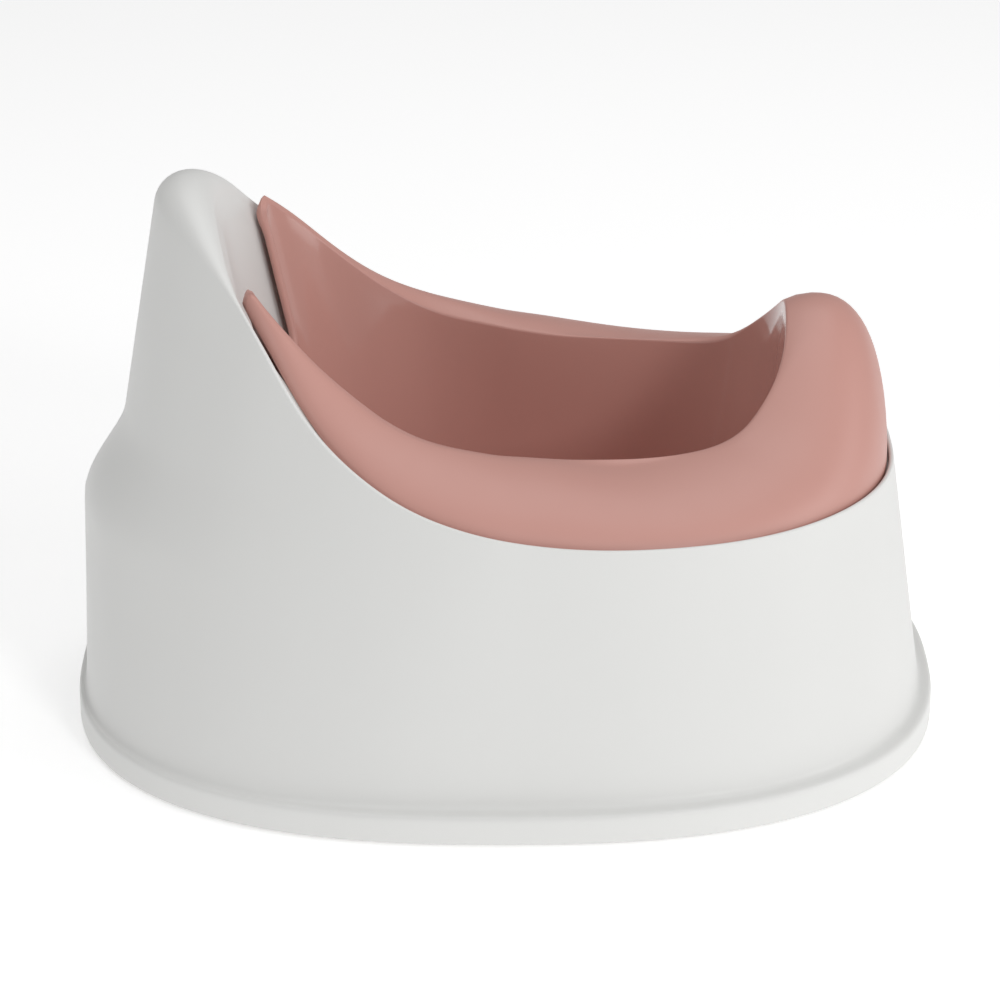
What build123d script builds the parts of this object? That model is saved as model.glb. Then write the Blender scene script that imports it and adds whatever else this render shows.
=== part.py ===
# Potty training chair: an open-bottomed outer shell with a raised backrest, a lift-out
# inner pot with a moulded seat and splash guard, and four anti-slip feet.
# Millimetres. +Z is up, the floor is z = 0, the front (splash guard) faces -Y and the
# backrest stands at +Y. The object is symmetric about the plane x = 0.
#
# Every moulded surface is a family of rings about the z axis. A ring is a function of
# the angle from the front, in degrees: 0 is the front, 90 a side, 180 the back.
from build123d import *
import os
import numpy as np

# ---- base -----------------------------------------------------------------------------
BASE_LENGTH = 360.0         # front to back, over the base flange
BASE_WIDTH = 290.0          # side to side, over the base flange
PLAN_POWER = 2.47           # superellipse power of the plan outlines
FLANGE_HEIGHT = 12.0        # upright edge of the base flange
FLANGE_ROUND = 2.0          # rounding of its top edge
LEDGE_FRONT = 5.5           # step from the flange in to the wall
LEDGE_SIDE = 8.5
LEDGE_BACK = 3.0
WALL = 3.0                  # moulded wall of the shell

# ---- rim and backrest -------------------------------------------------------------------
RIM_FRONT = 160.5           # from the origin to the rim, at the front
RIM_SIDE = 118.0            # and at the sides
RIM_HEIGHT = 112.4          # rim above the floor, at the front
LEAN_ANGLE = 138.0          # where the inner face starts to lean back
TIP_ANGLE = 152.0           # where the wings of the seat end
BACK_RADIUS = 142.0         # from the origin to the backrest's outer face, at the back
BACK_HEIGHT = 219.0         # top of the backrest's outer face
FOLD_RADIUS = 12.5          # rounded top of the backrest, at the middle
RIM_ROUND = 1.0             # rounded top of the thin rim
TIP_LEAN = 13.5             # lean of the backrest's inner face beside the wings, degrees
BACK_LEAN = 10.5            # and at the middle
BACK_SKIRT = 100.0          # lower edge of the backrest's inner face, above the floor
SKIRT_ANGLES = 118.0, 146.0  # where the rim's lip deepens into that skirt
SHOULDER_DEPTH = 12.0       # bulge of the wall below the backrest
SHOULDER_LOW = 93.0         # heights between which that bulge dies out
SHOULDER_HIGH = 130.0
SEAT_DROP = 3.4             # from the rim down to the step that carries the pot
STEP_WIDTH = 7.0            # that step
STEP_FALL = 8.0             # fall of the step behind the wings
LIP = 9.0                   # stiffening lip below the step
ROOF_LIFT = 4.6             # the hollow's roof rises this much into the backrest's fold
ROOF_EASE = 0.15            # share of its width over which it slopes to the lip

# ---- inner pot ----------------------------------------------------------------------------
POT_WALL = 3.0
POT_GAP = 0.8               # sideways play between the pot and the rim
REST_GAP = 0.3              # play under the pot's edge
GUARD_RISE = 63.8           # crest of the splash guard over the rim
FLOOR_HEIGHT = 20.0         # inside bottom of the pot, above the floor
FLOOR_FRONT = 80.0          # inside bottom outline, from the origin
FLOOR_SIDE = 48.0
FLOOR_BACK = 62.0
NOTCH_HEIGHT = 124.0        # bottom of the notch between the wings
NOTCH_WIDTH = 88.0          # width there, before its corners are rounded
NOTCH_MOUTH = 113.0         # width at NOTCH_TOP
NOTCH_TOP = BACK_HEIGHT + 21  # above the wings
NOTCH_CORNER = 26.0

# ---- feet -----------------------------------------------------------------------------------
SHELL_CLEARANCE = 1.0       # shell above the floor, carried by the feet
FOOT_ANGLES = {"front_left": 42.0, "front_right": -42.0, "rear_left": 138.0, "rear_right": -138.0}
FOOT_LENGTH = 30.0
FOOT_WIDTH = 9.0
FOOT_CORNER = 4.0           # rounding of its ends
FOOT_GROOVE = 1.2           # width of the tread grooves, and their depth
FOOT_PLAY = 0.6             # from the foot to the flange
PEG_DIAMETER = 4.0          # moulded peg that holds a foot
PEG_LENGTH = 5.0
PEG_INSET = 6.2             # from the flange's outside to the peg's axis
PEG_PLAY = 0.1              # round the peg, in the foot's hole
PEG_ROOM = 1.0              # and past its end

# ---- resolution --------------------------------------------------------------------------------
RING_POINTS = 46            # interpolation points on half a ring

ANGLES = np.linspace(0.0, 180.0, RING_POINTS)


def law(stations, values):
    """Cubic spline through values given at stations, level at both ends."""
    x = np.array(stations, float)
    y = np.array(values, float)
    h = np.diff(x)
    slope = np.diff(y) / h
    n = len(x)
    system = np.zeros((n, n))
    load = np.zeros(n)
    system[0, :2] = 2 * h[0], h[0]
    system[-1, -2:] = h[-1], 2 * h[-1]
    load[0] = 6 * slope[0]
    load[-1] = -6 * slope[-1]
    for i in range(1, n - 1):
        system[i, i - 1:i + 2] = h[i - 1], 2 * (h[i - 1] + h[i]), h[i]
        load[i] = 6 * (slope[i] - slope[i - 1])
    bend = np.linalg.solve(system, load)

    def value(at):
        at = np.clip(np.asarray(at, float), x[0], x[-1])
        i = np.clip(np.searchsorted(x, at) - 1, 0, n - 2)
        t = at - x[i]
        first = slope[i] - h[i] * (2 * bend[i] + bend[i + 1]) / 6
        return y[i] + t * first + bend[i] / 2 * t**2 + (bend[i + 1] - bend[i]) / (6 * h[i]) * t**3

    return value


def blend(at, low, high):
    """Smooth step from 0 at low to 1 at high."""
    t = np.clip((np.asarray(at, float) - low) / (high - low), 0.0, 1.0)
    return t * t * (3 - 2 * t)


def superellipse(angle, along, across):
    """Radius of a superellipse plan with half-axes along Y and across X."""
    c = np.abs(np.cos(np.radians(angle))) / along
    s = np.abs(np.sin(np.radians(angle))) / across
    return (c**PLAN_POWER + s**PLAN_POWER) ** (-1 / PLAN_POWER)


# ---- plan and height laws, by angle from the front -----------------------------------------------
FLANGE_TOP = SHELL_CLEARANCE + FLANGE_HEIGHT

ledge = law([0, 90, 180], [LEDGE_FRONT, LEDGE_SIDE, LEDGE_BACK])
rear_growth = law([90, 110, 130, 145, TIP_ANGLE, 160, 170, 180], [0, 0.02, 0.065, 0.12, 0.21, 0.44, 0.78, 1])
rim_rise = law([0, 20, 45, 60, 75, 90, 100, 110, 120, 130, 138, 144, TIP_ANGLE, 160, 170, 180],
               [0, 0.011, 0.005, 0.008, 0.02, 0.057, 0.102, 0.168, 0.269, 0.405, 0.551, 0.672,
                0.805, 0.9, 0.971, 1])
fold_share = law([140, TIP_ANGLE, 160, 170, 180], [0, 0.035, 0.35, 0.78, 1])
shoulder = law([110, 150, 180], [0, 0.3, 1])
step_width = law([122, 138, TIP_ANGLE], [STEP_WIDTH, 3.5, 1.0])
roof_drop = law([125, TIP_ANGLE, 163, 180], [0, 7, 5, 0])


def base_radius(angle):
    return superellipse(angle, BASE_LENGTH / 2, BASE_WIDTH / 2)


def foot_radius(angle):
    """Foot of the wall, on the flange."""
    return base_radius(angle) - ledge(angle)


def rim_radius(angle):
    front = superellipse(np.minimum(angle, 90.0), RIM_FRONT, RIM_SIDE)
    return front + (BACK_RADIUS - RIM_SIDE) * rear_growth(angle)


def rim_height(angle):
    return RIM_HEIGHT + (BACK_HEIGHT - RIM_HEIGHT) * rim_rise(angle)


def fold_radius(angle):
    return RIM_ROUND + (FOLD_RADIUS - RIM_ROUND) * fold_share(angle)


def wall_at(angle, z):
    """Outer face of the wall at height z: a straight taper and the shoulder's bulge."""
    down = (rim_height(angle) - z) / (rim_height(angle) - FLANGE_TOP)
    straight = rim_radius(angle) + (foot_radius(angle) - rim_radius(angle)) * down
    swell = np.clip((z - FLANGE_TOP) / (SHOULDER_LOW - FLANGE_TOP), 0, 1)
    return straight + SHOULDER_DEPTH * shoulder(angle) * swell * (1 - blend(z, SHOULDER_LOW, SHOULDER_HIGH))


def wall_taper(angle):
    return np.arctan2(foot_radius(angle) - rim_radius(angle), rim_height(angle) - FLANGE_TOP)


def inner_lean(angle):
    """Lean of the inner face from the upright, radians: none along the rim."""
    lean = TIP_LEAN + (BACK_LEAN - TIP_LEAN) * blend(angle, TIP_ANGLE, 180.0)
    return np.radians(lean) * blend(angle, LEAN_ANGLE, TIP_ANGLE)


def fold_point(angle, share):
    """Rounded top of rim and backrest: share 0 is its outer tangent, 1 its inner."""
    radius = fold_radius(angle)
    taper = wall_taper(angle)
    turn = taper + (np.pi - inner_lean(angle) - taper) * share
    r = rim_radius(angle) - radius * (np.cos(taper) - np.cos(turn))
    z = rim_height(angle) - radius * (np.sin(taper) - np.sin(turn))
    return r, z


def inner_face(angle, z):
    """Inner face of rim and backrest at height z."""
    r, top = fold_point(angle, 1.0)
    return r - (top - z) * np.tan(inner_lean(angle))


def step_height(angle):
    """The step that carries the pot."""
    return fold_point(angle, 1.0)[1] - SEAT_DROP


# ---- rings and skins -------------------------------------------------------------------------------
def half_ring(r, z):
    """Spline through the points (r, z) at ANGLES, on the side x < 0, square to x = 0."""
    turn = np.radians(ANGLES)
    r = r + 0 * turn
    z = z + 0 * turn
    x = -r * np.sin(turn)
    x[0] = x[-1] = 0.0
    points = [Vector(*p) for p in np.column_stack([x, -r * np.cos(turn), z]).tolist()]
    ends = [Vector(-r[0], 0, 0), Vector(r[-1], 0, 0)]
    return Wire([Edge.make_spline(points, tangents=ends, parameters=turn.tolist(), scale=False)])


def skin(rings):
    """Ruled faces from ring to ring, on both sides of the symmetry plane."""
    half = Shell.make_loft([half_ring(r, z) for r, z in rings], ruled=True).faces()
    return list(half) + [face.mirror(Plane.YZ) for face in half]


def flat(r, z):
    """Flat face inside one level ring."""
    half = half_ring(r, z)
    return Face(Wire(half.edges() + half.mirror(Plane.YZ).edges()))


def solid_from(faces):
    """Solid closed by the faces, turned right side out."""
    return Solid(Shell(faces)).fix()


# ---- outer shell -----------------------------------------------------------------------------------
def shell_profile():
    """Rings of the shell's closed section, all the way round and back to the first."""
    a = ANGLES
    base = base_radius(a)
    foot = foot_radius(a)
    rim = rim_height(a)
    corner = [(base - FLANGE_ROUND * (1 - np.cos(t)), FLANGE_TOP - FLANGE_ROUND * (1 - np.sin(t)))
              for t in np.linspace(0, np.pi / 2, 5)]
    wall = [(wall_at(a, z), z) for z in (FLANGE_TOP + (rim - FLANGE_TOP) * s for s in np.linspace(0, 1, 13))]
    fold = [fold_point(a, s) for s in np.linspace(0, 1, 9)]

    back = blend(a, LEAN_ANGLE, TIP_ANGLE)
    long_lip = blend(a, *SKIRT_ANGLES)
    step_z = step_height(a)
    step_low = step_z - STEP_FALL * back
    step_in = inner_face(a, step_low) - step_width(a)
    lip_z = (step_low - LIP) * (1 - long_lip) + BACK_SKIRT * long_lip
    lip_r = step_in - (step_low - lip_z) * np.tan(inner_lean(a))

    roof_z = step_z - WALL - roof_drop(a) + ROOF_LIFT * fold_share(a)
    roof_in = step_in + WALL + (inner_face(a, roof_z) - step_in) * back
    roof_in += ROOF_EASE * (wall_at(a, roof_z) - WALL - roof_in)
    lip_top = np.minimum(roof_z, step_low - WALL)
    under = FLANGE_TOP - WALL
    hollow = [(wall_at(a, z) - WALL, z) for z in (roof_z + (under - roof_z) * s for s in np.linspace(0, 1, 11))]
    return [
        (base, SHELL_CLEARANCE), *corner, *wall, *fold[1:],
        (inner_face(a, step_z), step_z), (step_in, step_low),
        (lip_r, lip_z), (lip_r + WALL, lip_z), (step_in + WALL, lip_top), (roof_in, roof_z),
        *hollow, (base - WALL, under), (base - WALL, SHELL_CLEARANCE), (base, SHELL_CLEARANCE),
    ]


def outer_shell():
    return solid_from(skin(shell_profile())) + [foot_peg(angle) for angle in FOOT_ANGLES.values()]


# ---- inner pot ---------------------------------------------------------------------------------------
# Beyond the wing tips the seat's rings level out: that stretch is cut away by the notch.
SEAT_END = TIP_ANGLE + 6

# Insets of the seat's crest and of its inner edge from the pot's outer edge, and their
# heights over the rim as shares of the guard's.
CREST_ANGLES = [0, 8, 16, 24, 30, 36, 45, 60, 80, 90, 100, 110, 120, 130, 140, SEAT_END]
crest_inset = law(CREST_ANGLES, [30.7, 32.7, 38.2, 42.2, 44.2, 45.2, 47.2, 44.7, 38.7, 36.2, 33.2, 28.2,
                                 22.2, 14.7, 6.7, 0.4])
crest_rise = law(CREST_ANGLES, [1, 0.909, 0.716, 0.501, 0.385, 0.336, 0.3, 0.283, 0.318, 0.304, 0.282, 0.241,
                                0.183, 0.139, 0.109, 0.064])
CREASE_ANGLES = [0, 8, 16, 20, 24, 28, 34, 40, 50, 60, 70, 80, 90, 100, 110, 120, 130, 140, SEAT_END]
crease_inset = law(CREASE_ANGLES, [43.2, 43.2, 43.2, 43.7, 44.8, 46.2, 48.2, 49.7, 50.9, 50.6, 49.0, 46.9,
                                   44.7, 41.8, 37.4, 31.2, 22.7, 11.7, 3.4])
crease_rise = law(CREASE_ANGLES, [0.954, 0.868, 0.695, 0.593, 0.485, 0.388, 0.325, 0.311, 0.307, 0.305, 0.301,
                                  0.294, 0.27, 0.225, 0.165, 0.11, 0.073, 0.049, 0.028])
seat_power = law([0, 40, 80, 130, TIP_ANGLE], [2.35, 1.9, 1.75, 1.8, 2.0])
pot_slope = law([0, 60, 100, 145], [0.35, 0.1, 0.1, 0.85])
channel_open = law([118, LEAN_ANGLE], [1.0, 0.0])
CHANNEL_TOP = 0.15, 0.85    # bounds of the channel's highest line, as shares of its width


def seat_angle(angle):
    return np.minimum(angle, SEAT_END)


def pot_edge(angle):
    """Outer edge of the seat: inside the rim, just over the step."""
    at = seat_angle(angle)
    return inner_face(at, step_height(at)) - POT_GAP, step_height(at) + REST_GAP


def crest(angle):
    at = seat_angle(angle)
    return pot_edge(at)[0] - crest_inset(at), rim_height(at) + GUARD_RISE * crest_rise(at)


def crease(angle):
    """Inner edge of the seat, where the pot's wall starts."""
    at = seat_angle(angle)
    return pot_edge(at)[0] - crease_inset(at), rim_height(at) + GUARD_RISE * crease_rise(at)


def floor_radius(angle):
    along = np.where(angle < 90, FLOOR_FRONT, FLOOR_BACK)
    return superellipse(angle, along, FLOOR_SIDE)


def pot_wall_at(angle, turn, outward=0.0):
    """Pot's wall from the crease (turn 0) to its floor (turn pi / 2), offset outwards."""
    top_r, top_z = crease(angle)
    slope = pot_slope(angle)
    share = slope * np.sin(turn) + (1 - slope) * (1 - np.cos(turn))
    r = top_r + (floor_radius(angle) - top_r) * share + outward * np.cos(turn)
    return r, top_z + (FLOOR_HEIGHT - top_z) * np.sin(turn) - outward * np.sin(turn)


def dome(angle, outer, top, turns):
    """Quarter superellipse from the point outer up and in to the point top."""
    power = 2 / seat_power(seat_angle(angle))
    return [(top[0] + (outer[0] - top[0]) * np.cos(t) ** power,
             outer[1] + (top[1] - outer[1]) * np.sin(t) ** power) for t in turns]


def pot_profile():
    """Rings of the pot's section, from the inner floor's outline to the outer one."""
    a = ANGLES
    edge_r, edge_z = pot_edge(a)
    crest_r, crest_z = crest(a)
    crease_r, crease_z = crease(a)
    open_share = channel_open(seat_angle(a))

    wall = [pot_wall_at(a, t) for t in np.linspace(np.pi / 2, 0, 13)]
    seat = [(crest_r + (crease_r - crest_r) * s, crest_z + (crease_z - crest_z) * s**2) for s in (0.5, 0)]
    seat += dome(a, (edge_r, edge_z), (crest_r, crest_z), np.linspace(np.pi / 2, 0, 11)[1:])

    channel_z = edge_z + open_share * (crease_z - POT_WALL - edge_z)
    start = np.arcsin((crease_z - channel_z) / (crease_z - FLOOR_HEIGHT + POT_WALL))
    outside = [pot_wall_at(a, start + (np.pi / 2 - start) * s, POT_WALL) for s in np.linspace(0, 1, 13)]
    room = edge_r - outside[0][0]
    lip_r = edge_r - room * POT_WALL / (room + POT_WALL)
    share = np.clip((crest_r - outside[0][0]) / (lip_r - outside[0][0]), *CHANNEL_TOP)
    channel = (outside[0][0] + (lip_r - outside[0][0]) * share,
               edge_z + open_share * (crest_z - POT_WALL - edge_z))
    under = dome(a, (lip_r, edge_z), channel, np.linspace(0, np.pi / 2, 9))
    return [*wall, *seat, *under, *outside]


def notch():
    """Opening between the wings, cut through the pot's back wall along Y."""
    low, mouth = NOTCH_WIDTH / 2, NOTCH_MOUTH / 2
    path = FilletPolyline((-mouth, 0, NOTCH_TOP), (-low, 0, NOTCH_HEIGHT), (low, 0, NOTCH_HEIGHT),
                          (mouth, 0, NOTCH_TOP), radius=NOTCH_CORNER)
    outline = Wire(path.edges() + [Edge.make_line(path @ 1, path @ 0)])
    return extrude(Face(outline), amount=BASE_LENGTH, dir=(0, 1, 0))


def inner_pot():
    faces = skin(pot_profile())
    outline = floor_radius(ANGLES)
    faces += [flat(outline, FLOOR_HEIGHT), flat(outline, FLOOR_HEIGHT - POT_WALL)]
    return solid_from(faces) - notch()


# ---- feet ---------------------------------------------------------------------------------------------
def foot_place(angle, inset):
    """Location under the flange, inset from its outside, with local X along the rim."""
    def at(turn):
        r = float(base_radius(abs(turn))) - inset
        return Vector(-r * np.sin(np.radians(turn)), -r * np.cos(np.radians(turn)), 0)
    tangent = at(angle + 1) - at(angle - 1)
    return Location(at(angle)) * Rotation(0, 0, np.degrees(np.arctan2(tangent.Y, tangent.X)))


def foot_peg(angle):
    seat = FLANGE_TOP - WALL
    peg = Cylinder(PEG_DIAMETER / 2, PEG_LENGTH + WALL / 2,
                   align=(Align.CENTER, Align.CENTER, Align.MAX))
    return foot_place(angle, PEG_INSET) * Pos(0, 0, seat + WALL / 2) * peg


def foot(angle):
    """Rubber foot: a rounded bar under the flange, with a peg hole and tread grooves."""
    height = FLANGE_TOP - WALL
    centre = foot_place(angle, WALL + FOOT_PLAY + FOOT_WIDTH / 2 + FOOT_LENGTH**2 / 4 / BASE_WIDTH)
    bar = extrude(RectangleRounded(FOOT_LENGTH, FOOT_WIDTH, FOOT_CORNER), amount=height)
    pitch = FOOT_LENGTH / 6
    for i in range(-2, 3):
        bar -= Pos(i * pitch, 0, 0) * Box(FOOT_GROOVE, FOOT_WIDTH, 2 * FOOT_GROOVE)
    hole = Cylinder(PEG_DIAMETER / 2 + PEG_PLAY, PEG_LENGTH + PEG_ROOM,
                    align=(Align.CENTER, Align.CENTER, Align.MAX))
    return centre * bar - foot_place(angle, PEG_INSET) * Pos(0, 0, height) * hole


# ---- build ----------------------------------------------------------------------------------------------
os.makedirs("parts", exist_ok=True)
parts = {"outer_shell": outer_shell(), "inner_pot": inner_pot()}
for place, angle in FOOT_ANGLES.items():
    parts[f"{place}_foot"] = foot(angle)
for name, shape in parts.items():
    export_step(shape, f"parts/{name}.step")
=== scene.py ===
"""Potty training chair: the visual model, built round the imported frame.

Sizes are in millimetres and angles in degrees, as a moulder's drawing would give them,
and become metres where a mesh is made. +Z is up, the floor is z = 0, the front (splash
guard) faces -Y and the backrest stands at +Y. Every moulding is a family of rings about
the z axis: a function of the angle from the front (0 front, 90 side, 180 back) and of a
place along its closed section.
"""

import logging
from dataclasses import dataclass
from enum import Enum

import bpy
import numpy as np
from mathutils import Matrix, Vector


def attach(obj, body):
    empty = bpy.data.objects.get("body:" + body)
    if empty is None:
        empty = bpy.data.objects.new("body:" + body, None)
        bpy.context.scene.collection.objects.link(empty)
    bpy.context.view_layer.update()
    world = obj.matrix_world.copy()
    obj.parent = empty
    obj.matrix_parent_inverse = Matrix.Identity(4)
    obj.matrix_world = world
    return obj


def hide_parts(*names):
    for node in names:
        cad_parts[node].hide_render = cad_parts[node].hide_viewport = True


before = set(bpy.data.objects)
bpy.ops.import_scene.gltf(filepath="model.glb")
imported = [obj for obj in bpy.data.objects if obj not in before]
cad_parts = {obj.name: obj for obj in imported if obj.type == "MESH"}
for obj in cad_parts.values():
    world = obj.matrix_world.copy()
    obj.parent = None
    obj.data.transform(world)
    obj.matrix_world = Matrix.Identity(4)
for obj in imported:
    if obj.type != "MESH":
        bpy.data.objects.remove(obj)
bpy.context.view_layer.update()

LOG = logging.getLogger("potty_chair")
MM = 0.001


class Body(Enum):
    """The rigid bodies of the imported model."""

    SHELL = "shell"
    POT = "pot"


class Slot(Enum):
    """The record's material slots."""

    SHELL = "shell_white"
    POT = "pot_pink"
    RUBBER = "foot_rubber"


# ---- curves and sections -------------------------------------------------------------------
@dataclass(frozen=True)
class Law:
    """A cubic spline through values at stations, level at both ends and flat beyond them."""

    stations: tuple[float, ...]
    values: tuple[float, ...]

    def __call__(self, at: np.ndarray | float) -> np.ndarray:
        """Value of the law.

        The second derivatives at the stations solve the usual tridiagonal system of a
        clamped cubic spline with zero end slopes.

        Args:
            at: places at which the law is read.

        Returns:
            The value at each place.
        """
        x = np.array(self.stations, float)
        y = np.array(self.values, float)
        h = np.diff(x)
        slope = np.diff(y) / h
        system = np.diag(2.0 * (np.r_[0.0, h] + np.r_[h, 0.0])) + np.diag(h, 1) + np.diag(h, -1)
        bend = np.linalg.solve(system, 6.0 * (np.r_[slope, 0.0] - np.r_[0.0, slope]))
        at = np.clip(np.asarray(at, float), x[0], x[-1])
        i = np.clip(np.searchsorted(x, at) - 1, 0, len(x) - 2)
        t = at - x[i]
        first = slope[i] - h[i] * (2.0 * bend[i] + bend[i + 1]) / 6.0
        return y[i] + t * first + bend[i] / 2.0 * t**2 + (bend[i + 1] - bend[i]) / (6.0 * h[i]) * t**3


def blend(at: np.ndarray | float, low: float, high: float) -> np.ndarray:
    """Smooth step: 3t^2 - 2t^3, where t runs from 0 at low to 1 at high.

    Args:
        at: places at which the step is read.
        low: place up to which it is 0.
        high: place from which it is 1.

    Returns:
        The value at each place.
    """
    t = np.clip((np.asarray(at, float) - low) / (high - low), 0.0, 1.0)
    return t * t * (3.0 - 2.0 * t)


class Section:
    """A moulding's section as a chain of corners, each a function of the angle.

    A corner is a pair of arrays (radius, height) over the columns. A rounded corner is
    replaced by a parabola between two points on its legs, at the tangent length asked
    for or at 0.45 of the leg, whichever is shorter.
    """

    SHARE = 0.45

    def __init__(self, columns: int) -> None:
        """An empty section over that many columns."""
        self.columns = columns
        self.corners: list[tuple[np.ndarray, float, int]] = []

    def add(self, r: np.ndarray | float, z: np.ndarray | float, tangent: float = 0.0,
            points: int = 1) -> None:
        """Append one corner.

        Args:
            r: distance from the z axis.
            z: height.
            tangent: length of each leg that the rounding takes.
            points: points that the corner gives the section.
        """
        spot = np.stack([np.broadcast_to(r, self.columns), np.broadcast_to(z, self.columns)], -1)
        self.corners.append((spot.astype(float), tangent, points))

    def trace(self, closed: bool) -> np.ndarray:
        """Rounded section: for a corner B with legs to A and C, the parabola
        (1-s)^2 (B+a) + 2s(1-s) B + s^2 (B+c), where a and c lie along the legs.

        Args:
            closed: whether the last corner joins the first.

        Returns:
            Array (columns, points, 2) of radius and height.
        """
        spots = [c[0] for c in self.corners]
        count = len(spots)
        rows: list[np.ndarray] = []
        for k, (spot, tangent, points) in enumerate(self.corners):
            inner = closed or 0 < k < count - 1
            if points == 1 or not inner:
                rows.append(spot[:, None, :])
                continue
            legs = []
            for other in (spots[k - 1], spots[(k + 1) % count]):
                leg = other - spot
                length = np.linalg.norm(leg, axis=-1, keepdims=True)
                legs.append(leg / np.maximum(length, 1e-9) * np.minimum(tangent, self.SHARE * length))
            s = np.linspace(0.0, 1.0, points)[None, :, None]
            rows.append((1 - s) ** 2 * (spot + legs[0])[:, None] + 2 * s * (1 - s) * spot[:, None]
                        + s**2 * (spot + legs[1])[:, None])
        return np.concatenate(rows, axis=1)


# ---- the form both mouldings share ------------------------------------------------------------
@dataclass(frozen=True)
class Form:
    """Plan and height laws of the chair, by the angle from the front."""

    base_length: float = 360.0
    base_width: float = 290.0
    plan_power: float = 2.47
    flange_top: float = 13.0
    rim_front: float = 160.5
    rim_side: float = 118.0
    rim_height: float = 112.4
    rim_round: float = 1.0
    lean_angle: float = 138.0
    tip_angle: float = 152.0
    back_radius: float = 142.0
    back_height: float = 219.0
    fold_radius: float = 12.5
    tip_lean: float = 13.5
    back_lean: float = 10.5
    shoulder_depth: float = 12.0
    shoulder_low: float = 93.0
    shoulder_high: float = 130.0
    seat_drop: float = 3.4
    ledge: Law = Law((0, 90, 180), (5.5, 8.5, 3.0))
    rear_growth: Law = Law((90, 110, 130, 145, 152, 160, 170, 180),
                           (0, 0.02, 0.065, 0.12, 0.21, 0.44, 0.78, 1))
    rim_rise: Law = Law((0, 20, 45, 60, 75, 90, 100, 110, 120, 130, 138, 144, 152, 160, 170, 180),
                        (0, 0.011, 0.005, 0.008, 0.02, 0.057, 0.102, 0.168, 0.269, 0.405, 0.551, 0.672,
                         0.805, 0.9, 0.971, 1))
    fold_share: Law = Law((140, 152, 160, 170, 180), (0, 0.035, 0.35, 0.78, 1))
    shoulder: Law = Law((110, 150, 180), (0, 0.3, 1))

    def superellipse(self, angle: np.ndarray, along: np.ndarray | float, across: float) -> np.ndarray:
        """Radius of the curve |y/along|^p + |x/across|^p = 1.

        Args:
            angle: angle from the front.
            along: half-axis along y.
            across: half-axis along x.

        Returns:
            Distance from the z axis.
        """
        c = np.abs(np.cos(np.radians(angle))) / along
        s = np.abs(np.sin(np.radians(angle))) / across
        return (c**self.plan_power + s**self.plan_power) ** (-1 / self.plan_power)

    def base(self, angle: np.ndarray) -> np.ndarray:
        """Outside of the base flange."""
        return self.superellipse(angle, self.base_length / 2, self.base_width / 2)

    def foot(self, angle: np.ndarray) -> np.ndarray:
        """Foot of the wall, where it meets the flange."""
        return self.base(angle) - self.ledge(angle)

    def rim(self, angle: np.ndarray) -> np.ndarray:
        """Outer radius of the rim and backrest."""
        front = self.superellipse(np.minimum(angle, 90.0), self.rim_front, self.rim_side)
        return front + (self.back_radius - self.rim_side) * self.rear_growth(angle)

    def top(self, angle: np.ndarray) -> np.ndarray:
        """Height of the outer face's upper end."""
        return self.rim_height + (self.back_height - self.rim_height) * self.rim_rise(angle)

    def fold(self, angle: np.ndarray) -> np.ndarray:
        """Radius of the rounded top: thin along the rim, wide over the backrest."""
        return self.rim_round + (self.fold_radius - self.rim_round) * self.fold_share(angle)

    def wall(self, angle: np.ndarray, z: np.ndarray) -> np.ndarray:
        """Outer face: straight from the foot to the rim, plus the shoulder's bulge.

        Args:
            angle: angle from the front.
            z: height.

        Returns:
            Distance from the z axis.
        """
        down = (self.top(angle) - z) / (self.top(angle) - self.flange_top)
        straight = self.rim(angle) + (self.foot(angle) - self.rim(angle)) * down
        swell = np.clip((z - self.flange_top) / (self.shoulder_low - self.flange_top), 0, 1)
        fade = 1 - blend(z, self.shoulder_low, self.shoulder_high)
        return straight + self.shoulder_depth * self.shoulder(angle) * swell * fade

    def lean(self, angle: np.ndarray) -> np.ndarray:
        """Lean of the inner face from the upright, in radians."""
        most = self.tip_lean + (self.back_lean - self.tip_lean) * blend(angle, self.tip_angle, 180.0)
        return np.radians(most) * blend(angle, self.lean_angle, self.tip_angle)

    def over_fold(self, angle: np.ndarray, share: float) -> tuple[np.ndarray, np.ndarray]:
        """Point on the rounded top: a circular arc tangent to both faces.

        Args:
            angle: angle from the front.
            share: place on the arc, 0 at the outer face and 1 at the inner face.

        Returns:
            Distance from the z axis, and height.
        """
        radius = self.fold(angle)
        taper = np.arctan2(self.foot(angle) - self.rim(angle), self.top(angle) - self.flange_top)
        turn = taper + (np.pi - self.lean(angle) - taper) * share
        return (self.rim(angle) - radius * (np.cos(taper) - np.cos(turn)),
                self.top(angle) - radius * (np.sin(taper) - np.sin(turn)))

    def inner(self, angle: np.ndarray, z: np.ndarray | float) -> np.ndarray:
        """Inner face of rim and backrest at a height: a straight lean from the fold."""
        r, top = self.over_fold(angle, 1.0)
        return r - (top - z) * np.tan(self.lean(angle))

    def step(self, angle: np.ndarray) -> np.ndarray:
        """Height of the step that carries the pot."""
        return self.over_fold(angle, 1.0)[1] - self.seat_drop


# ---- meshes ---------------------------------------------------------------------------------------
def swing(angle: np.ndarray, r: np.ndarray, z: np.ndarray) -> np.ndarray:
    """Points on the side x < 0: (-r sin angle, -r cos angle, z).

    Args:
        angle: angle from the front.
        r: distance from the z axis.
        z: height.

    Returns:
        The points, with a last axis of three.
    """
    turn = np.radians(angle)
    r, z, turn = np.broadcast_arrays(r, z, turn)
    return np.stack([-r * np.sin(turn), -r * np.cos(turn), z], -1)


def whole_turn(half: np.ndarray) -> np.ndarray:
    """A half grid from front to back, continued by its mirror image back to the front."""
    other = half[-2:0:-1] * np.array([-1.0, 1.0, 1.0])
    return np.concatenate([half, other], axis=0)


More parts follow.
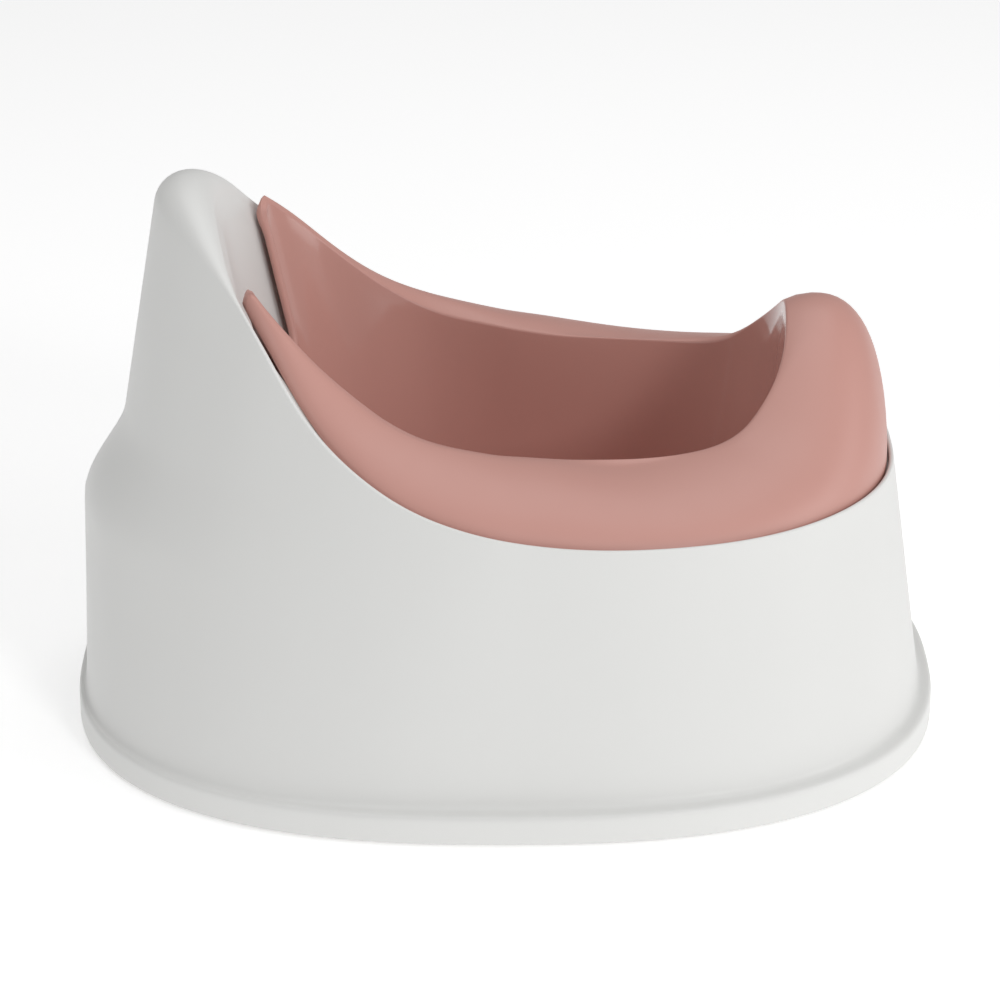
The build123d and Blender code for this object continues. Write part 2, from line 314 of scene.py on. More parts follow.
class Surface:
    """Quads and triangles gathered from grids into one closed mesh."""

    def __init__(self, name: str) -> None:
        """An empty surface with the name of its piece."""
        self.name = name
        self.points: list[np.ndarray] = []
        self.faces: list[np.ndarray] = []
        self.tone: list[np.ndarray] = []
        self.total = 0

    def grid(self, points: np.ndarray, wrap_rows: bool, wrap_columns: bool,
             tone: np.ndarray | None = None) -> None:
        """Add a grid; corner (i, j) joins (i+1, j), (i+1, j+1) and (i, j+1).

        Args:
            points: array (rows, columns, 3) in millimetres.
            wrap_rows: whether the last row joins the first.
            wrap_columns: whether the last column joins the first.
            tone: polish of each column, 0 to 1.
        """
        rows, columns = points.shape[:2]
        index = self.total + np.arange(rows * columns).reshape(rows, columns)
        if wrap_rows:
            index = np.concatenate([index, index[:1]])
        if wrap_columns:
            index = np.concatenate([index, index[:, :1]], axis=1)
        quads = np.stack([index[:-1, :-1], index[1:, :-1], index[1:, 1:], index[:-1, 1:]], -1)
        self.faces.append(quads.reshape(-1, 4))
        self.points.append(points.reshape(-1, 3))
        spread = np.zeros(columns) if tone is None else tone
        self.tone.append(np.broadcast_to(spread, (rows, columns)).reshape(-1))
        self.total += rows * columns

    def pole(self, ring: np.ndarray, centre: np.ndarray, tone: float) -> None:
        """Close a ring with triangles to one point.

        Args:
            ring: vertex numbers of the ring, in order.
            centre: the point.
            tone: its polish.
        """
        self.points.append(centre.reshape(1, 3))
        self.tone.append(np.array([tone]))
        tip = np.full(len(ring), self.total)
        self.faces.append(np.stack([ring, np.roll(ring, -1), tip, tip], -1))
        self.total += 1

    def piece(self) -> bpy.types.Object:
        """Mesh object of the surface, faces turned outwards.

        The signed volume is the sum of the tetrahedra from the origin to each face; if
        it is negative every face is reversed.

        Returns:
            The new object, linked to the scene, with its place in its mesh.
        """
        points = np.concatenate(self.points) * MM
        faces = np.concatenate(self.faces)
        quads = faces[faces[:, 2] != faces[:, 3]]
        threes = faces[faces[:, 2] == faces[:, 3]][:, :3]
        fans = np.concatenate([quads[:, :3], quads[:, [0, 2, 3]], threes])
        a, b, c = (points[fans[:, k]] for k in range(3))
        if np.einsum("ij,ij->i", a, np.cross(b, c)).sum() < 0:
            quads, threes = quads[:, ::-1], threes[:, ::-1]
        corners = np.concatenate([quads.reshape(-1), threes.reshape(-1)])
        totals = np.r_[np.full(len(quads), 4), np.full(len(threes), 3)]
        mesh = bpy.data.meshes.new(self.name)
        mesh.vertices.add(len(points))
        mesh.vertices.foreach_set("co", points.astype(np.float32).reshape(-1))
        mesh.loops.add(len(corners))
        mesh.loops.foreach_set("vertex_index", corners.astype(np.int32))
        mesh.polygons.add(len(totals))
        mesh.polygons.foreach_set("loop_start", np.r_[0, np.cumsum(totals)[:-1]].astype(np.int32))
        mesh.polygons.foreach_set("use_smooth", np.ones(len(totals), bool))
        mesh.update(calc_edges=True)
        mesh.validate()
        finish = mesh.attributes.new("polish", "FLOAT", "POINT")
        finish.data.foreach_set("value", np.concatenate(self.tone).astype(np.float32))
        piece = bpy.data.objects.new(self.name, mesh)
        bpy.context.scene.collection.objects.link(piece)
        return piece


# ---- finishes -----------------------------------------------------------------------------------------
def linear(colour: str, alpha: float = 1.0) -> tuple[float, float, float, float]:
    """Linear colour of an sRGB value: c/12.92 below 0.04045, ((c+0.055)/1.055)^2.4 above.

    Args:
        colour: hex digits after a hash sign.
        alpha: opacity.

    Returns:
        Red, green, blue and alpha.
    """
    parts = [int(colour.lstrip("#")[k:k + 2], 16) / 255 for k in (0, 2, 4)]
    r, g, b = (c / 12.92 if c <= 0.04045 else ((c + 0.055) / 1.055) ** 2.4 for c in parts)
    return r, g, b, alpha


def add_node(tree: bpy.types.NodeTree, kind: str, settings: dict | None = None,
             inputs: dict | None = None) -> bpy.types.Node:
    """Add one node with its settings, socket values and links.

    Args:
        tree: the material's node tree.
        kind: the node's type name.
        settings: attributes to set on the node.
        inputs: socket names to values, or to an output socket to link from.

    Returns:
        The new node.
    """
    node = tree.nodes.new(kind)
    for name, value in (settings or {}).items():
        setattr(node, name, value)
    for name, value in (inputs or {}).items():
        socket = node.inputs[name]
        if isinstance(value, bpy.types.NodeSocket):
            tree.links.new(value, socket)
        else:
            socket.default_value = value
    return node


@dataclass(frozen=True)
class MouldedPlastic:
    """Injection-moulded thermoplastic: an even body colour, a fine eroded-mould grain, and
    a roughness that drops where the mould was polished."""

    name: str
    colour: str
    shade: str
    roughness: float
    polished: float
    grain_mm: float
    grain_depth_mm: float
    ior: float = 1.49
    cloud_mm: float = 90.0
    cloud_detail: float = 2.0
    wear_mm: float = 14.0
    wear_detail: float = 4.0
    wear_band: tuple[float, float] = (0.3, 0.7)
    wear_spread: tuple[float, float] = (-0.02, 0.03)
    grain_detail: float = 3.0
    polished_grain: float = 0.05

    def material(self) -> bpy.types.Material:
        """Node material of the finish."""
        material = bpy.data.materials.new(self.name)
        material.use_nodes = True
        tree = material.node_tree
        tree.nodes.clear()
        place = add_node(tree, "ShaderNodeTexCoord")
        cloud = add_node(tree, "ShaderNodeTexNoise", {"noise_dimensions": "3D"},
                         {"Vector": place.outputs["Object"], "Scale": 1 / (self.cloud_mm * MM),
                         "Detail": self.cloud_detail})
        colour = add_node(tree, "ShaderNodeMix", {"data_type": "RGBA"})
        tree.links.new(cloud.outputs["Fac"], colour.inputs[0])
        colour.inputs[6].default_value = linear(self.colour)
        colour.inputs[7].default_value = linear(self.shade)

        rub = add_node(tree, "ShaderNodeTexNoise", {"noise_dimensions": "3D"},
                       {"Vector": place.outputs["Object"], "Scale": 1 / (self.wear_mm * MM),
                        "Detail": self.wear_detail})
        uneven = add_node(tree, "ShaderNodeMapRange", None,
                          {"Value": rub.outputs["Fac"],
                           "From Min": self.wear_band[0], "From Max": self.wear_band[1],
                           "To Min": self.roughness + self.wear_spread[0],
                           "To Max": self.roughness + self.wear_spread[1]})
        polish = add_node(tree, "ShaderNodeAttribute", {"attribute_name": "polish"})
        rough = add_node(tree, "ShaderNodeMix", {"data_type": "FLOAT"})
        tree.links.new(polish.outputs["Fac"], rough.inputs[0])
        tree.links.new(uneven.outputs["Result"], rough.inputs[2])
        rough.inputs[3].default_value = self.polished

        grain = add_node(tree, "ShaderNodeTexNoise", {"noise_dimensions": "3D"},
                         {"Vector": place.outputs["Object"], "Scale": 1 / (self.grain_mm * MM),
                          "Detail": self.grain_detail})
        keep = add_node(tree, "ShaderNodeMapRange", None,
                        {"Value": polish.outputs["Fac"], "To Min": 1.0, "To Max": self.polished_grain})
        bump = add_node(tree, "ShaderNodeBump", None,
                        {"Height": grain.outputs["Fac"], "Distance": self.grain_depth_mm * MM,
                         "Strength": keep.outputs["Result"]})
        skin = add_node(tree, "ShaderNodeBsdfPrincipled", None,
                        {"Base Color": colour.outputs[2], "Roughness": rough.outputs[0], "IOR": self.ior,
                         "Normal": bump.outputs["Normal"]})
        add_node(tree, "ShaderNodeOutputMaterial", None, {"Surface": skin.outputs["BSDF"]})
        return material


# Polypropylene homopolymer, injection moulded in a fine-eroded mould: a satin white shell.
WHITE_PP = MouldedPlastic("moulded_white_polypropylene", "#E2E2E0", "#DEDEDC", roughness=0.42,
                          polished=0.3, grain_mm=0.9, grain_depth_mm=0.012)
# The same plastic in pink: satin on the seat, glossy inside the bowl, which is polished to wipe clean.
PINK_PP = MouldedPlastic("moulded_pink_polypropylene", "#C8968C", "#C59288", roughness=0.44,
                         polished=0.09, grain_mm=0.9, grain_depth_mm=0.012)
# Styrenic thermoplastic rubber, moulded: a matt, slightly darker white with no clear highlight.
FOOT_TPE = MouldedPlastic("moulded_thermoplastic_rubber", "#C9C9C6", "#C3C3C0", roughness=0.75,
                          polished=0.75, grain_mm=0.6, grain_depth_mm=0.03, ior=1.5)


# ---- outer shell -----------------------------------------------------------------------------------------
@dataclass
class OuterShell:
    """White open-bottomed moulding: stepped flange, tapered wall, thin rim with the step
    that carries the pot, and the backrest folded over into an inner wall."""

    form: Form
    wall: float = 3.0
    bottom: float = 1.0
    step_width: Law = Law((122, 138, 152), (7.0, 3.5, 1.0))
    step_fall: float = 8.0
    lip: float = 9.0
    skirt: float = 100.0
    skirt_angles: tuple[float, float] = (118.0, 146.0)
    roof_drop: Law = Law((125, 152, 163, 180), (0, 7, 5, 0))
    roof_lift: float = 4.6
    roof_ease: float = 0.15
    edge_leg: float = 0.8
    flange_leg: float = 2.6
    root_leg: float = 4.5
    root_share: float = 0.07
    rim_leg: float = 0.7
    roof_leg: float = 0.6
    edge_points: int = 4
    round_points: int = 9
    inner_points: int = 3
    wall_rows: int = 44
    fold_rows: int = 17
    hollow_rows: int = 14
    columns: int = 241

    def angles(self) -> np.ndarray:
        """Angles of the columns, from front to back."""
        return np.linspace(0.0, 180.0, self.columns)

    def section(self) -> np.ndarray:
        """Closed section: up the outside, over the fold, down the inner face to the step
        and lip, then back under the step and down the inside of the wall."""
        f, a = self.form, self.angles()
        section = Section(self.columns)
        base, foot, top = f.base(a), f.foot(a), f.top(a)
        under = f.flange_top - self.wall
        section.add(base, self.bottom, self.edge_leg, self.edge_points)
        section.add(base, f.flange_top, self.flange_leg, self.round_points)
        section.add(foot, f.flange_top, self.root_leg, self.round_points)
        for share in np.linspace(self.root_share, 1.0, self.wall_rows)[:-1]:
            z = f.flange_top + (top - f.flange_top) * share
            section.add(f.wall(a, z), z)
        for share in np.linspace(0.0, 1.0, self.fold_rows):
            section.add(*f.over_fold(a, share))

        back = blend(a, f.lean_angle, f.tip_angle)
        long_lip = blend(a, *self.skirt_angles)
        step_z = f.step(a)
        step_low = step_z - self.step_fall * back
        step_in = f.inner(a, step_low) - self.step_width(a)
        lip_z = (step_low - self.lip) * (1 - long_lip) + self.skirt * long_lip
        lip_r = step_in - (step_low - lip_z) * np.tan(f.lean(a))
        roof_z = step_z - self.wall - self.roof_drop(a) + self.roof_lift * f.fold_share(a)
        roof_in = step_in + self.wall + (f.inner(a, roof_z) - step_in) * back
        roof_out = f.wall(a, roof_z) - self.wall
        section.add(f.inner(a, step_z), step_z, self.rim_leg, self.edge_points)
        section.add(step_in, step_low, self.edge_leg, self.edge_points)
        section.add(lip_r, lip_z, self.edge_leg, self.edge_points)
        section.add(lip_r + self.wall, lip_z, self.edge_leg, self.edge_points)
        section.add(step_in + self.wall, np.minimum(roof_z, step_low - self.wall),
                    self.roof_leg, self.inner_points)
        section.add(roof_in + self.roof_ease * (roof_out - roof_in), roof_z)
        for share in np.linspace(0.0, 1.0, self.hollow_rows):
            z = roof_z + (under - roof_z) * share
            section.add(f.wall(a, z) - self.wall, z)
        section.add(base - self.wall, under, self.edge_leg, self.inner_points)
        section.add(base - self.wall, self.bottom, self.edge_leg, self.inner_points)
        return section.trace(closed=True)

    def build(self) -> bpy.types.Object:
        """The shell as one piece, riding on its body in place of the CAD shell."""
        section = self.section()
        half = swing(self.angles()[:, None], section[..., 0], section[..., 1])
        surface = Surface("white_shell")
        surface.grid(whole_turn(half), wrap_rows=True, wrap_columns=True)
        piece = surface.piece()
        piece.data.materials.append(WHITE_PP.material())
        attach(piece, Body.SHELL.value)
        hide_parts("outer_shell")
        return piece


# ---- inner pot --------------------------------------------------------------------------------------------
SEAT_END = 158.0
CREST_AT = (0, 8, 16, 24, 30, 36, 45, 60, 80, 90, 100, 110, 120, 130, 140, SEAT_END)
CREASE_AT = (0, 8, 16, 20, 24, 28, 34, 40, 50, 60, 70, 80, 90, 100, 110, 120, 130, 140, SEAT_END)


@dataclass
class InnerPot:
    """Pink lift-out moulding: bowl, crowned seat, splash guard, and two wings with the
    notch between them."""

    form: Form
    wall: float = 3.0
    side_gap: Law = Law((112, 128, 146, 158), (0.8, 2.7, 2.1, 1.2))
    rest_gap: float = 0.3
    guard_rise: float = 63.8
    floor_height: float = 20.0
    floor_front: float = 80.0
    floor_side: float = 48.0
    floor_back: float = 62.0
    notch_height: float = 124.0
    notch_half: float = 44.0
    notch_mouth: float = 56.5
    notch_top: float = 240.0
    notch_corner: float = 26.0
    tip_round: float = 4.5
    crest_inset: Law = Law(CREST_AT, (30.7, 32.7, 38.2, 42.2, 44.2, 45.2, 47.2, 44.7, 38.7, 36.2,
                                      33.2, 28.2, 22.2, 14.7, 6.7, 0.4))
    crest_rise: Law = Law(CREST_AT, (1, 0.909, 0.716, 0.501, 0.385, 0.336, 0.3, 0.283, 0.318, 0.304,
                                     0.282, 0.241, 0.183, 0.139, 0.109, 0.064))
    crease_inset: Law = Law(CREASE_AT, (43.2, 43.2, 43.2, 43.7, 44.8, 46.2, 48.2, 49.7, 50.9, 50.6,
                                        49.0, 46.9, 44.7, 41.8, 37.4, 31.2, 22.7, 11.7, 3.4))
    crease_rise: Law = Law(CREASE_AT, (0.954, 0.868, 0.695, 0.593, 0.485, 0.388, 0.325, 0.311, 0.307,
                                       0.305, 0.301, 0.294, 0.27, 0.225, 0.165, 0.11, 0.073, 0.049,
                                       0.028))
    seat_power: Law = Law((0, 40, 80, 130, 152), (2.35, 1.9, 1.75, 1.8, 2.0))
    pot_slope: Law = Law((0, 60, 100, 145), (0.35, 0.1, 0.1, 0.85))
    channel_open: Law = Law((118, 138), (1.0, 0.0))
    channel_top: tuple[float, float] = (0.15, 0.85)
    crease_leg: float = 1.1
    edge_leg: float = 0.6
    notch_turn: float = 84.0
    tip_lift: float = 1.0
    leg_share: float = 0.98
    wing_ease: float = 14.0
    near_drop: float = 6.0
    tip_mix: float = 0.10
    outer_polish: float = 0.35
    crease_polish: tuple[float, ...] = (0.8, 0.5, 0.2)
    crease_points: int = 7
    edge_points: int = 4
    top_shares: tuple[float, ...] = (0.5, 0.0)
    corner_points: int = 25
    first_angle: float = 165.0
    angle_rounds: int = 12
    seat_columns: int = 200
    notch_columns: int = 110
    wall_points: int = 30
    dome_points: int = 18
    under_points: int = 9
    floor_rings: int = 8

    def edge(self, angle: np.ndarray) -> tuple[np.ndarray, np.ndarray]:
        """Outer edge of the seat: just inside the rim, just over the step."""
        at = np.minimum(angle, SEAT_END)
        step = self.form.step(at)
        return self.form.inner(at, step) - self.side_gap(at), step + self.rest_gap

    def crest(self, angle: np.ndarray) -> tuple[np.ndarray, np.ndarray]:
        """Highest line of the seat."""
        at = np.minimum(angle, SEAT_END)
        height = self.form.top(at) + self.guard_rise * self.crest_rise(at)
        return self.edge(at)[0] - self.crest_inset(at), height

    def crease(self, angle: np.ndarray) -> tuple[np.ndarray, np.ndarray]:
        """Inner edge of the seat, where the bowl's wall starts."""
        at = np.minimum(angle, SEAT_END)
        height = self.form.top(at) + self.guard_rise * self.crease_rise(at)
        return self.edge(at)[0] - self.crease_inset(at), height

    def floor(self, angle: np.ndarray) -> np.ndarray:
        """Outline of the bowl's flat floor."""
        return self.form.superellipse(angle, np.where(angle < 90, self.floor_front, self.floor_back),
                                      self.floor_side)

    def bowl(self, angle: np.ndarray, turn: np.ndarray,
             outward: float = 0.0) -> tuple[np.ndarray, np.ndarray]:
        """Bowl wall from the crease to the floor: a quarter oval mixed with a slope.

        Args:
            angle: angle from the front.
            turn: place on the quarter oval, 0 at the crease and pi/2 at the floor.
            outward: move outwards, the wall's thickness for the outside.

        Returns:
            Distance from the z axis, and height.
        """
        top_r, top_z = self.crease(angle)
        slope = self.pot_slope(angle)
        share = slope * np.sin(turn) + (1 - slope) * (1 - np.cos(turn))
        r = top_r + (self.floor(angle) - top_r) * share + outward * np.cos(turn)
        return r, top_z + (self.floor_height - top_z) * np.sin(turn) - outward * np.sin(turn)

    def bowl_turn(self, angle: np.ndarray, z: np.ndarray, outward: float = 0.0) -> np.ndarray:
        """Turn at which the bowl wall is at a height."""
        top_z = self.crease(angle)[1]
        return np.arcsin(np.clip((top_z - z) / (top_z - self.floor_height + outward), 0.0, 1.0))

    def dome(self, angle: np.ndarray, outer: tuple, top: tuple, turns: np.ndarray) -> list[tuple]:
        """Quarter superellipse, cos^(2/p) across and sin^(2/p) up.

        Args:
            angle: angle from the front, which sets the power p.
            outer: point at turn 0.
            top: point at turn pi/2.
            turns: places on the quarter.

        Returns:
            Radius and height at each place.
        """
        power = 2 / self.seat_power(np.minimum(angle, SEAT_END))
        return [(top[0] + (outer[0] - top[0]) * np.cos(t) ** power,
                 outer[1] + (top[1] - outer[1]) * np.sin(t) ** power) for t in turns]

    def seat_columns_grid(self, angle: np.ndarray) -> np.ndarray:
        """Columns of the seat stretch.

        Each runs up the bowl, over the crease, the seat and its outer edge, through the
        channel under the seat and down the bowl's outside.

        Args:
            angle: angles of the columns.

        Returns:
            Array (columns, points, 3).
        """
        edge_r, edge_z = self.edge(angle)
        crest_r, crest_z = self.crest(angle)
        crease_r, crease_z = self.crease(angle)
        section = Section(len(angle))
        for turn in np.linspace(np.pi / 2, 0.0, self.wall_points + 1)[:-1]:
            section.add(*self.bowl(angle, np.full_like(angle, turn)))
        section.add(crease_r, crease_z, self.crease_leg, self.crease_points)
        for share in self.top_shares:
            section.add(crest_r + (crease_r - crest_r) * share,
                        crest_z + (crease_z - crest_z) * share**2)
        for spot in self.dome(angle, (edge_r, edge_z), (crest_r, crest_z),
                              np.linspace(np.pi / 2, 0.0, self.dome_points)[1:-1]):
            section.add(*spot)
        section.add(edge_r, edge_z, self.edge_leg, self.edge_points)

        open_share = self.channel_open(np.minimum(angle, SEAT_END))
        channel_z = edge_z + open_share * (crease_z - self.wall - edge_z)
        start = self.bowl_turn(angle, channel_z, self.wall)
        out_r, out_z = self.bowl(angle, start, self.wall)
        room = edge_r - out_r
        lip_r = edge_r - room * self.wall / (room + self.wall)
        share = np.clip((crest_r - out_r) / (lip_r - out_r), *self.channel_top)
        channel = (out_r + (lip_r - out_r) * share,
                   edge_z + open_share * (crest_z - self.wall - edge_z))
        for spot in self.dome(angle, (lip_r, edge_z), channel,
                              np.linspace(0, np.pi / 2, self.under_points)):
            section.add(*spot)
        for share in np.linspace(0.0, 1.0, self.wall_points):
            section.add(*self.bowl(angle, start + (np.pi / 2 - start) * share, self.wall))
        trace = section.trace(closed=False)
        return swing(angle[:, None], trace[..., 0], trace[..., 1])

    def notch_side(self, z: float) -> float:
        """Distance of the notch's straight side from the middle plane, at a height."""
        slope = (self.notch_mouth - self.notch_half) / (self.notch_top - self.notch_height)
        return self.notch_half + slope * (z - self.notch_height)

    def notch_path(self, start_x: float, start_z: float) -> tuple[np.ndarray, np.ndarray]:
        """Cut line in the plane of x and z: from the wing's top round its tip, down the
        side of the notch, round its lower corner and along its bottom to the middle.

        The corners are parabolas between points on their legs, as in a section. The
        points are then spread evenly along the length.

        Args:
            start_x: distance from the middle at which the wing's rounding starts.
            start_z: height of the wing there.

        Returns:
            Distance from the middle, and height, of each column.
        """
        corners = np.array([[start_x, start_z], [self.notch_side(start_z), start_z + self.tip_lift],
                            [self.notch_half, self.notch_height], [0.0, self.notch_height]])
        path = [corners[:1]]
        reach = (self.tip_round, self.notch_corner * np.tan(np.radians(self.notch_turn / 2)))
        for k, length in zip((1, 2), reach):
            spot = corners[k]
            before, after = corners[k - 1] - spot, corners[k + 1] - spot
            room = np.linalg.norm(before)
            a = before / room * min(length, room * self.leg_share)
            c = after / np.linalg.norm(after) * length
            s = np.linspace(0.0, 1.0, self.corner_points)[:, None]
            path.append((1 - s) ** 2 * (spot + a) + 2 * s * (1 - s) * spot + s**2 * (spot + c))
        path.append(corners[-1:])
        line = np.concatenate(path)
        along = np.r_[0.0, np.cumsum(np.linalg.norm(np.diff(line, axis=0), axis=1))]
        even = np.linspace(0.0, along[-1], self.notch_columns + 1)
        return np.interp(even, along, line[:, 0]), np.interp(even, along, line[:, 1])

    def angle_of(self, x: np.ndarray, z: np.ndarray, outward: float) -> np.ndarray:
        """Angle at which the bowl wall, at a height, is x from the middle plane.

        The radius is read at the angle so far and the angle set to 180 - asin(x / r), a
        few times over, which settles fast because the radius hardly changes.

        Args:
            x: distance from the middle plane.
            z: height.
            outward: move of the wall outwards.

        Returns:
            The angle from the front.
        """
        angle = np.full_like(x, self.first_angle)
        for _ in range(self.angle_rounds):
            r = self.bowl(angle, self.bowl_turn(angle, z, outward), outward)[0]
            angle = 180.0 - np.degrees(np.arcsin(np.clip(x / r, 0.0, 1.0)))
        return angle

    def outer_wall(self, angle: np.ndarray, z: np.ndarray) -> np.ndarray:
        """Outside of a wing: the bowl's outside, eased out to the seat's edge.

        Args:
            angle: angle from the front.
            z: height.

        Returns:
            Distance from the z axis.
        """
        edge_r, edge_z = self.edge(angle)
        r = self.bowl(angle, self.bowl_turn(angle, z, self.wall), self.wall)[0]
        at_edge = self.bowl(angle, self.bowl_turn(angle, edge_z, self.wall), self.wall)[0]
        return r + (edge_r - at_edge) * blend(z, edge_z - self.wing_ease, edge_z)

    def notch_columns_grid(self, last: np.ndarray, last_angle: float) -> np.ndarray:
        """Columns of the notch stretch, from the wing's tip to the middle of the back.

        Each column climbs the inner wall to the cut line, crosses the wall's thickness
        on a half circle that bulges square to the cut line, and goes down the outside.
        Near the tip the half circle is mixed with the last column of the seat.

        Args:
            last: the seat's last column, as points.
            last_angle: its angle.

        Returns:
            Array (columns, points, 3).
        """
        crease_r, crease_z = (float(v) for v in self.crease(np.array(last_angle)))
        x, z = self.notch_path(crease_r * np.sin(np.radians(180.0 - last_angle)), crease_z)
        x, z = x[1:], z[1:]
        inner = self.angle_of(x, z, 0.0)
        outer = self.angle_of(x, z, self.wall)
        count = self.wall_points
        climb = np.linspace(1.0, 0.0, count + 1)[None, :]
        stop = self.bowl_turn(inner, z)[:, None]
        turn = stop + (np.pi / 2 - stop) * climb
        wide = np.broadcast_to(inner[:, None], turn.shape)
        inside = swing(wide, *self.bowl(wide, turn))

        edge_z = self.edge(outer)[1]
        z_out = np.minimum(z, edge_z)
        start = swing(outer, self.outer_wall(outer, z_out), z_out)
        crossing = self.crease_points + len(self.top_shares) + self.dome_points - 2 + self.edge_points
        thick = start - inside[:, -1]
        middle = (start + inside[:, -1]) / 2
        along = np.gradient(middle, axis=0)
        bulge = np.cross(along, thick)
        bulge /= np.linalg.norm(bulge, axis=-1, keepdims=True)
        half = np.linalg.norm(thick, axis=-1, keepdims=True) / 2
        phi = np.linspace(np.pi, 0.0, crossing)[None, :, None]
        cap = middle[:, None] + thick[:, None] / 2 * np.cos(phi) + (bulge * half)[:, None] * np.sin(phi)

        drop = np.linspace(0.0, self.near_drop, self.under_points + 1)[None, 1:]
        z_near = z_out[:, None] - drop
        outer_near = np.broadcast_to(outer[:, None], z_near.shape)
        under = swing(outer_near, self.outer_wall(outer_near, z_near), z_near)
        low = self.bowl_turn(outer, z_out - self.near_drop, self.wall)[:, None]
        fall = low + (np.pi / 2 - low) * np.linspace(0.0, 1.0, self.wall_points + 1)[None, 1:]
        outer_wide = np.broadcast_to(outer[:, None], fall.shape)
        r, height = self.bowl(outer_wide, fall, self.wall)
        ease = self.outer_wall(outer_wide, height) - self.bowl(
            outer_wide, self.bowl_turn(outer_wide, height, self.wall), self.wall)[0]
        outside = swing(outer_wide, r + ease, height)
        columns = np.concatenate([inside[:, :-1], cap, under, outside], axis=1)

        mix = blend(np.arange(1, len(x) + 1), 0.0, len(x) * self.tip_mix)[:, None, None]
        return columns + (last - columns[0]) * (1 - mix)

    def tone(self, total: int) -> np.ndarray:
        """Polish along a column: full in the bowl, gone at the seat, partial outside.

        Args:
            total: points in a column.

        Returns:
            The polish of each point, 0 to 1.
        """
        tone = np.zeros(total)
        tone[:self.wall_points] = 1.0
        tone[self.wall_points:self.wall_points + len(self.crease_polish)] = self.crease_polish
        tone[-self.wall_points:] = self.outer_polish
        return tone

    def build(self) -> bpy.types.Object:
        """The pot as one piece, riding on its body in place of the CAD pot."""
        crease_r = self.crease(np.array(SEAT_END))[0]
        tip_z = float(self.crease(np.array(self.form.tip_angle))[1])
        side = self.notch_side(tip_z) + self.tip_round
        last = 180.0 - float(np.degrees(np.arcsin(side / crease_r)))
        angles = np.linspace(0.0, last, self.seat_columns)
        seat = self.seat_columns_grid(angles)
        notch = self.notch_columns_grid(seat[-1], last)
        half = np.concatenate([seat, notch])
        half[[0, -1], :, 0] = 0.0
        ring = whole_turn(half)
        tone = self.tone(ring.shape[1])

        surface = Surface("pink_pot")
        shrink = np.linspace(0.0, 1.0, self.floor_rings + 1)[1:-1][:, None]
        centre = np.array([0.0, 0.0, 1.0])
        inner_floor = ring[:, :1] * np.where(centre, 1.0, shrink[None])
        outer_floor = ring[:, -1:] * np.where(centre, 1.0, shrink[::-1][None])
        whole = np.concatenate([inner_floor, ring, outer_floor], axis=1)
        spread = np.r_[np.ones(len(shrink)), tone, np.full(len(shrink), self.outer_polish)]
        surface.grid(whole, wrap_rows=True, wrap_columns=False, tone=spread)
        rows, columns = whole.shape[:2]
        first = np.arange(rows) * columns
        surface.pole(first, np.array([0.0, 0.0, self.floor_height]), 1.0)
        surface.pole((first + columns - 1)[::-1],
                     np.array([0.0, 0.0, self.floor_height - self.wall]), self.outer_polish)
        piece = surface.piece()
        piece.data.materials.append(PINK_PP.material())
        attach(piece, Body.POT.value)
        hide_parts("inner_pot")
        return piece


# ---- feet --------------------------------------------------------------------------------------------------
@dataclass
class Feet:
    """The four rubber feet, kept from the CAD and dressed."""

    names: tuple[str, ...] = ("front_left_foot", "front_right_foot",
                              "rear_left_foot", "rear_right_foot")

    def dress(self) -> None:
        """Give every foot its rubber."""
        rubber = FOOT_TPE.material()
        for name in self.names:
            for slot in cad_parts[name].material_slots:
                slot.material = rubber
            LOG.info("dressed %s", name)


# ---- studio -------------------------------------------------------------------------------------------------
@dataclass(frozen=True)
class Lamp:
    """A softbox: a square area light that points at the chair."""

    name: str
    place: tuple[float, float, float]
    size: float
    power: float
    aim: tuple[float, float, float] = (0.0, 0.0, 0.1)

    def build(self) -> None:
        """Add the light to the scene."""
        light = bpy.data.lights.new(self.name, "AREA")
        light.shape = "SQUARE"
        light.size = self.size
        light.energy = self.power
        lamp = bpy.data.objects.new(self.name, light)
        lamp.location = self.place
        lamp.rotation_euler = (Vector(self.aim) - Vector(self.place)).to_track_quat("-Z", "Y").to_euler()
        bpy.context.scene.collection.objects.link(lamp)


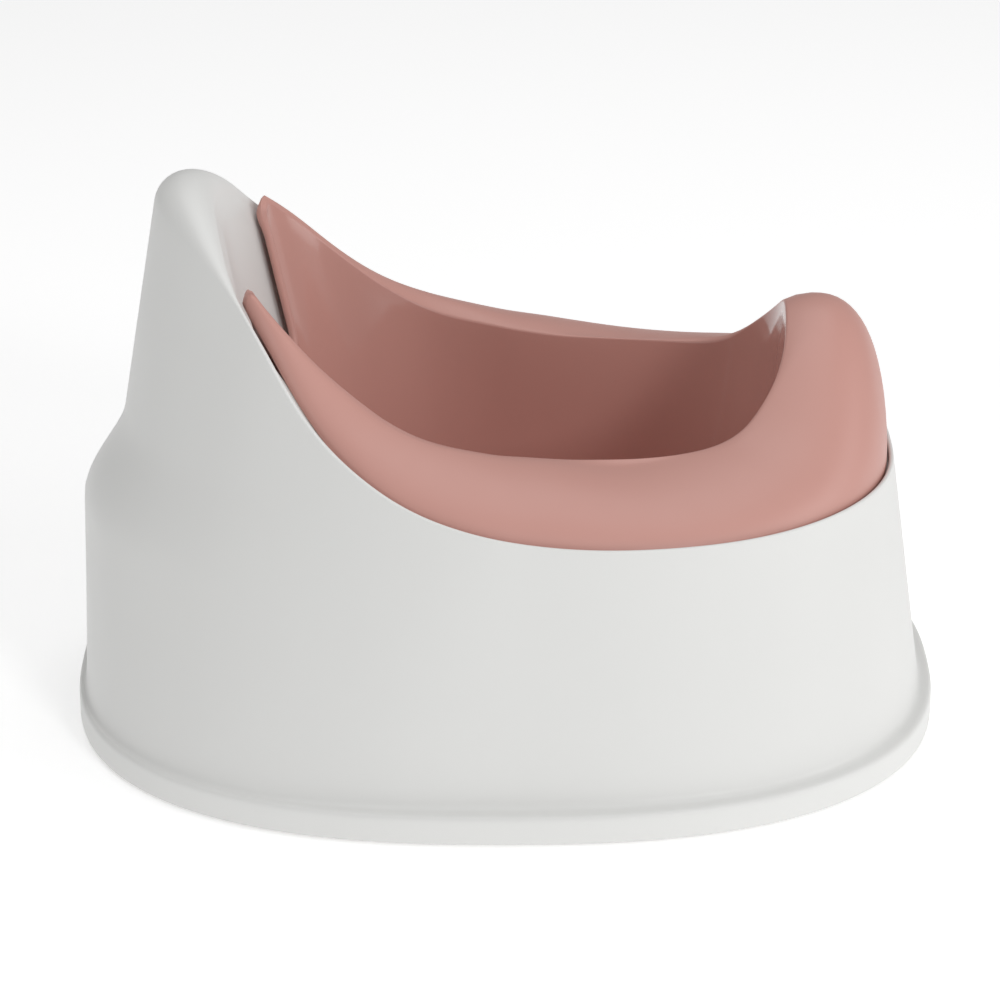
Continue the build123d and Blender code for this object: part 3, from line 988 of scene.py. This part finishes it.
@dataclass
class Studio:
    """Pale floor with a slight glow of its own, soft light and the camera."""

    eye: tuple[float, float, float] = (-1.4756, 0.0109, 0.7375)
    view: tuple[float, float, float] = (0.9147, -0.0054, -0.4042)
    lens: float = 138.69
    sensor: float = 36.0
    floor_half: float = 6.0
    floor_colour: str = "#F4F4F4"
    floor_glow: float = 0.34
    floor_roughness: float = 0.9
    clip_end: float = 50.0
    world: float = 0.28
    lamps: tuple[Lamp, ...] = (
        Lamp("top_softbox", (0.2, 0.0, 2.2), 2.0, 20.0),
        Lamp("key_softbox", (-0.7, -2.3, 0.9), 1.2, 15.0),
        Lamp("near_softbox", (-2.0, -1.1, 1.15), 0.5, 13.0),
        Lamp("rear_softbox", (-1.7, 1.6, 0.9), 0.8, 5.0),
    )

    def build(self) -> None:
        """Add the floor, lights, world and camera."""
        h = self.floor_half
        mesh = bpy.data.meshes.new("floor")
        mesh.from_pydata([(-h, -h, 0), (h, -h, 0), (h, h, 0), (-h, h, 0)], [], [(0, 1, 2, 3)])
        floor = bpy.data.objects.new("floor", mesh)
        bpy.context.scene.collection.objects.link(floor)
        paper = bpy.data.materials.new("backlit_matt_acrylic")
        paper.use_nodes = True
        skin = paper.node_tree.nodes["Principled BSDF"]
        skin.inputs["Base Color"].default_value = linear(self.floor_colour)
        skin.inputs["Roughness"].default_value = self.floor_roughness
        skin.inputs["Emission Color"].default_value = (1.0, 1.0, 1.0, 1.0)
        skin.inputs["Emission Strength"].default_value = self.floor_glow
        mesh.materials.append(paper)
        for lamp in self.lamps:
            lamp.build()
        world = bpy.data.worlds.new("studio")
        world.use_nodes = True
        sky = world.node_tree.nodes["Background"]
        sky.inputs["Color"].default_value = (1.0, 1.0, 1.0, 1.0)
        sky.inputs["Strength"].default_value = self.world
        bpy.context.scene.world = world
        bpy.context.scene.view_settings.view_transform = "Standard"
        data = bpy.data.cameras.new("camera")
        data.lens = self.lens
        data.sensor_width = self.sensor
        data.clip_end = self.clip_end
        camera = bpy.data.objects.new("camera", data)
        camera.location = self.eye
        camera.rotation_euler = Vector(self.view).to_track_quat("-Z", "Y").to_euler()
        bpy.context.scene.collection.objects.link(camera)
        bpy.context.scene.camera = camera


def main() -> None:
    """Build the chair and its studio."""
    logging.basicConfig(level=logging.INFO, format="%(name)s: %(message)s")
    Studio().build()
    form = Form()
    for part in (OuterShell(form), InnerPot(form)):
        piece = part.build()
        LOG.info("built %s: %d faces", piece.name, len(piece.data.polygons))
    Feet().dress()


if __name__ == "__main__":
    main()
